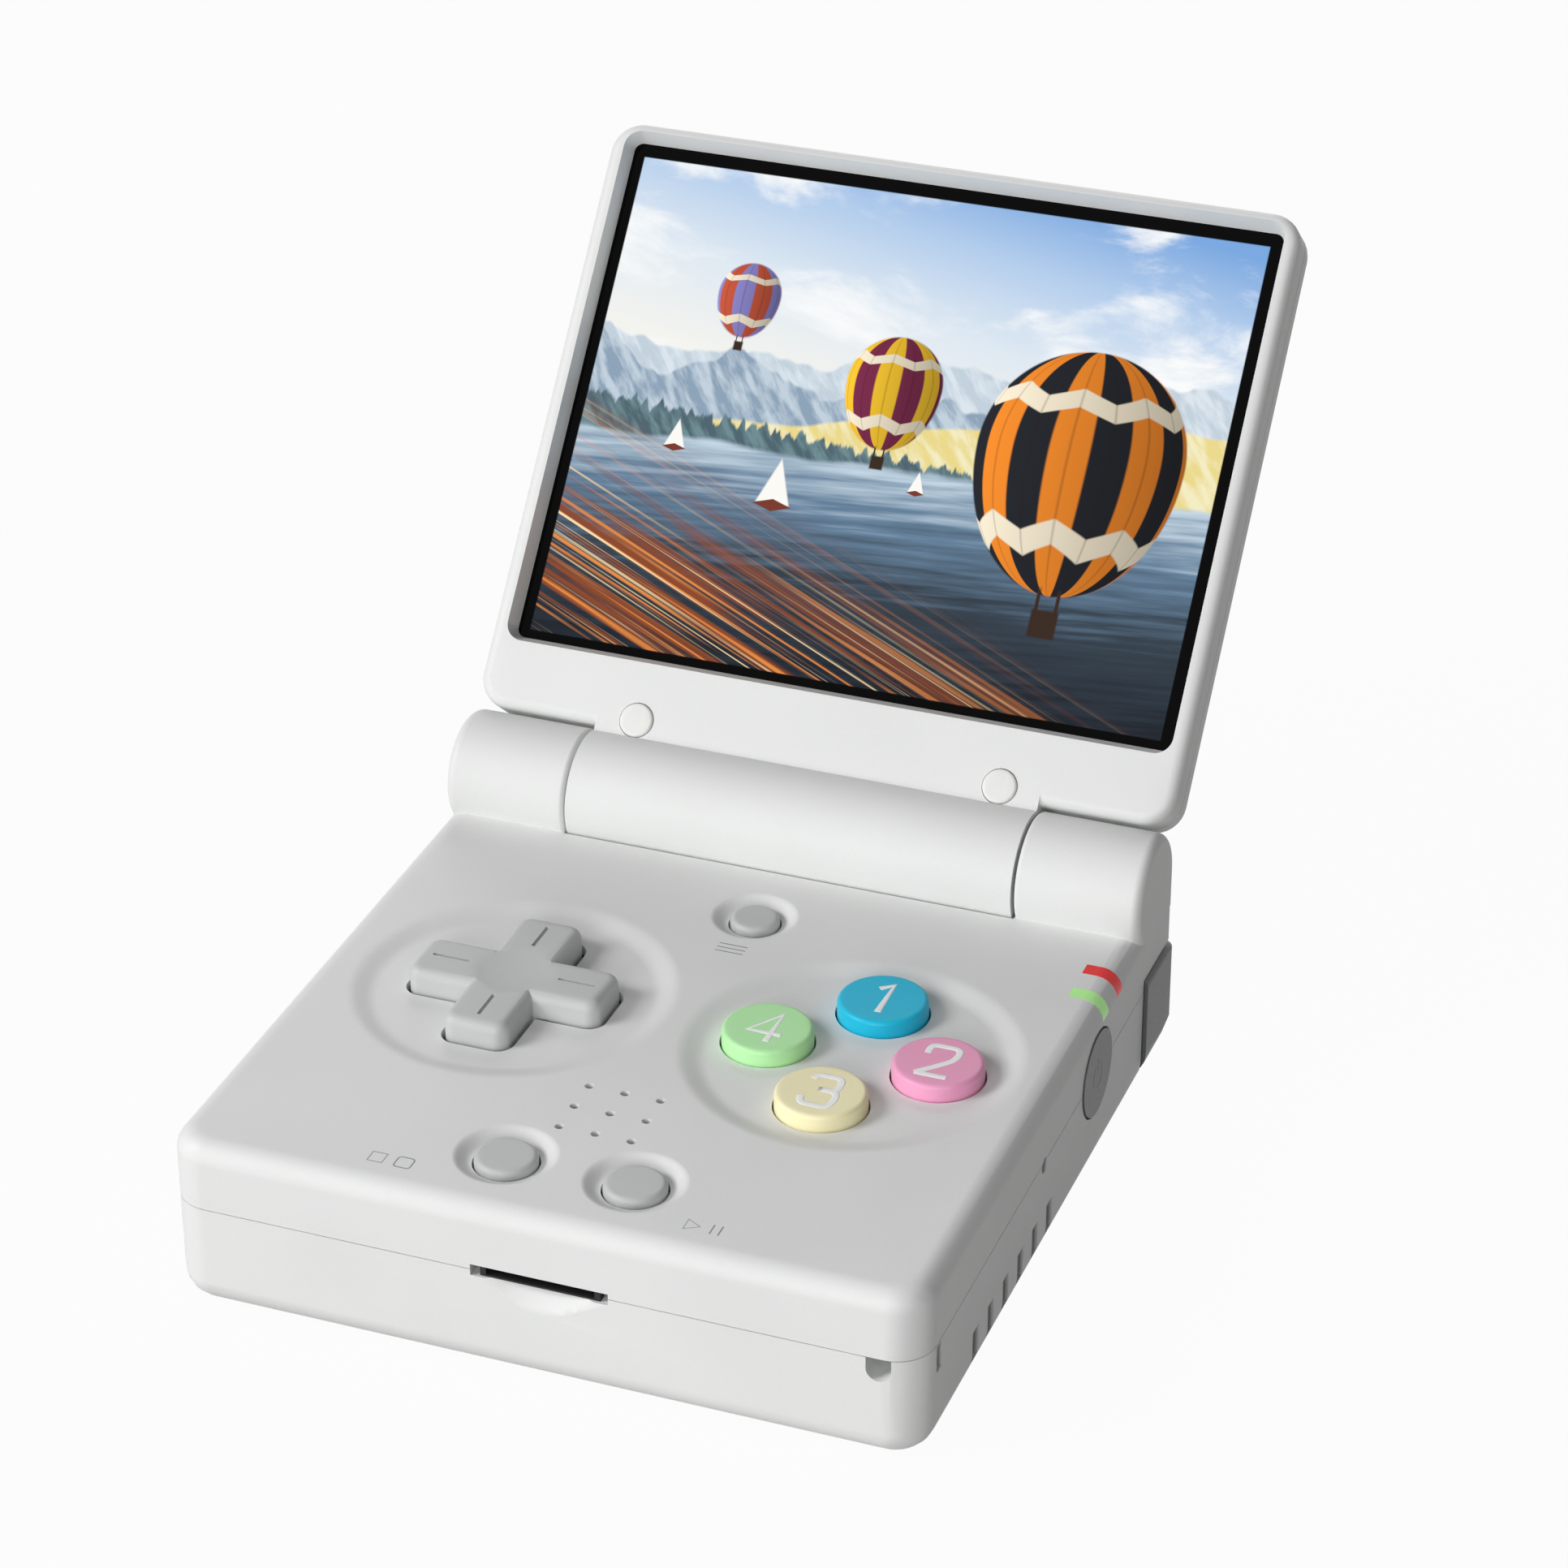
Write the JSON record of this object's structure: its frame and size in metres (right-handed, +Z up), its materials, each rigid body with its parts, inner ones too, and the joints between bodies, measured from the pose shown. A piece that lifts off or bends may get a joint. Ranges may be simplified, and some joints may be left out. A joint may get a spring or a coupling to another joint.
{
  "type": "clamshell handheld game console",
  "caption": "Clamshell handheld game console: square control base with direction pad and coloured keys, screen lid on a barrel hinge.",
  "frame": {"origin": "centre of the base underside, on the surface that the console stands on", "axes": "+X to the right of the player, +Y from the player towards the hinge, +Z up out of the control face"},
  "size_m": [0.0789, 0.124, 0.0786],
  "materials": {
    "casing": "fine satin",
    "dark_plastic": "fine satin",
    "pad_white": "smooth",
    "blue_key": "gloss",
    "pink_key": "gloss",
    "yellow_key": "gloss",
    "green_key": "gloss",
    "red_lamp": "translucent red",
    "green_lamp": "translucent green",
    "silicone": "matt",
    "board": "solder mask",
    "cell_wrap": "wrapped",
    "steel": "plain",
    "panel": "lit display",
    "cover_glass": "gloss with black border"
  },
  "bodies": {
    "base": {"base_upper_shell": "casing", "base_lower_shell": "casing", "main_board": "board", "battery_cell": "cell_wrap", "speaker_driver": "dark_plastic", "card_socket": "steel", "card_mouth": "dark_plastic", "usb_port": "steel", "audio_jack": "dark_plastic", "casing_screws": "steel", "face_button_membrane": "silicone", "dpad_membrane": "silicone", "option_membrane": "silicone", "menu_membrane": "silicone", "power_switch": "dark_plastic", "volume_switch": "dark_plastic", "red_light_pipe": "red_lamp", "green_light_pipe": "green_lamp", "left_hinge_bushing": "dark_plastic", "right_hinge_bushing": "dark_plastic", "left_trigger_pin": "steel", "right_trigger_pin": "steel"},
    "lid": {"lid_front_shell": "casing", "lid_rear_shell": "casing", "display_panel": "panel", "display_glass": "cover_glass", "display_gasket": "silicone", "left_lid_pad": "pad_white", "right_lid_pad": "pad_white", "left_hinge_pin": "steel", "right_hinge_pin": "steel"},
    "dpad_ball": {"dpad_pivot": "silicone"},
    "dpad": {"dpad": "casing"},
    "north_button": {"north_button": "blue_key"},
    "east_button": {"east_button": "pink_key"},
    "south_button": {"south_button": "yellow_key"},
    "west_button": {"west_button": "green_key"},
    "menu_button": {"menu_button": "casing"},
    "select_button": {"select_button": "casing"},
    "start_button": {"start_button": "casing"},
    "left_trigger": {"left_trigger": "dark_plastic"},
    "right_trigger": {"right_trigger": "dark_plastic"},
    "power_button": {"power_button": "dark_plastic"},
    "volume_rocker": {"volume_rocker": "dark_plastic"}
  },
  "joints": [
    {"name": "lid_hinge", "type": "hinge", "parent": "base", "child": "lid", "pos_m": [0, 0.03355, 0.0216], "axis": [1, 0, 0], "range_deg": [-20, 130.2]},
    {"name": "dpad_tilt_front_back", "type": "hinge", "parent": "base", "child": "dpad_ball", "pos_m": [-0.018, -0.0025, 0.01497], "axis": [1, 0, 0], "range_deg": [-2.5, 2.5], "stiffness_Nm_per_rad": 0.15},
    {"name": "dpad_tilt_left_right", "type": "hinge", "parent": "dpad_ball", "child": "dpad", "pos_m": [-0.018, -0.0025, 0.01497], "axis": [0, 1, 0], "range_deg": [-2.5, 2.5], "stiffness_Nm_per_rad": 0.15},
    {"name": "north_button_press", "type": "slide", "parent": "base", "child": "north_button", "axis": [0, 0, -1], "range_m": [0, 0.0009], "stiffness_N_per_m": 900},
    {"name": "east_button_press", "type": "slide", "parent": "base", "child": "east_button", "axis": [0, 0, -1], "range_m": [0, 0.0009], "stiffness_N_per_m": 900},
    {"name": "south_button_press", "type": "slide", "parent": "base", "child": "south_button", "axis": [0, 0, -1], "range_m": [0, 0.0009], "stiffness_N_per_m": 900},
    {"name": "west_button_press", "type": "slide", "parent": "base", "child": "west_button", "axis": [0, 0, -1], "range_m": [0, 0.0009], "stiffness_N_per_m": 900},
    {"name": "menu_button_press", "type": "slide", "parent": "base", "child": "menu_button", "axis": [0, 0, -1], "range_m": [0, 0.0009], "stiffness_N_per_m": 900},
    {"name": "select_button_press", "type": "slide", "parent": "base", "child": "select_button", "axis": [0, 0, -1], "range_m": [0, 0.0009], "stiffness_N_per_m": 900},
    {"name": "start_button_press", "type": "slide", "parent": "base", "child": "start_button", "axis": [0, 0, -1], "range_m": [0, 0.0009], "stiffness_N_per_m": 900},
    {"name": "power_press", "type": "slide", "parent": "base", "child": "power_button", "axis": [-1, 0, 0], "range_m": [0, 0.0006], "stiffness_N_per_m": 1200},
    {"name": "left_trigger_pull", "type": "hinge", "parent": "base", "child": "left_trigger", "pos_m": [-0.0365, 0.0318, 0.007], "axis": [0, 0, -1], "range_deg": [0, 4.71], "stiffness_Nm_per_rad": 0.3},
    {"name": "right_trigger_pull", "type": "hinge", "parent": "base", "child": "right_trigger", "pos_m": [0.0365, 0.0318, 0.007], "axis": [0, 0, 1], "range_deg": [0, 4.71], "stiffness_Nm_per_rad": 0.3},
    {"name": "volume_rock", "type": "hinge", "parent": "base", "child": "volume_rocker", "pos_m": [-0.0354, 0.0137, 0.0116], "axis": [0, 0, 1], "range_deg": [-2, 2], "stiffness_Nm_per_rad": 0.2}
  ]
}
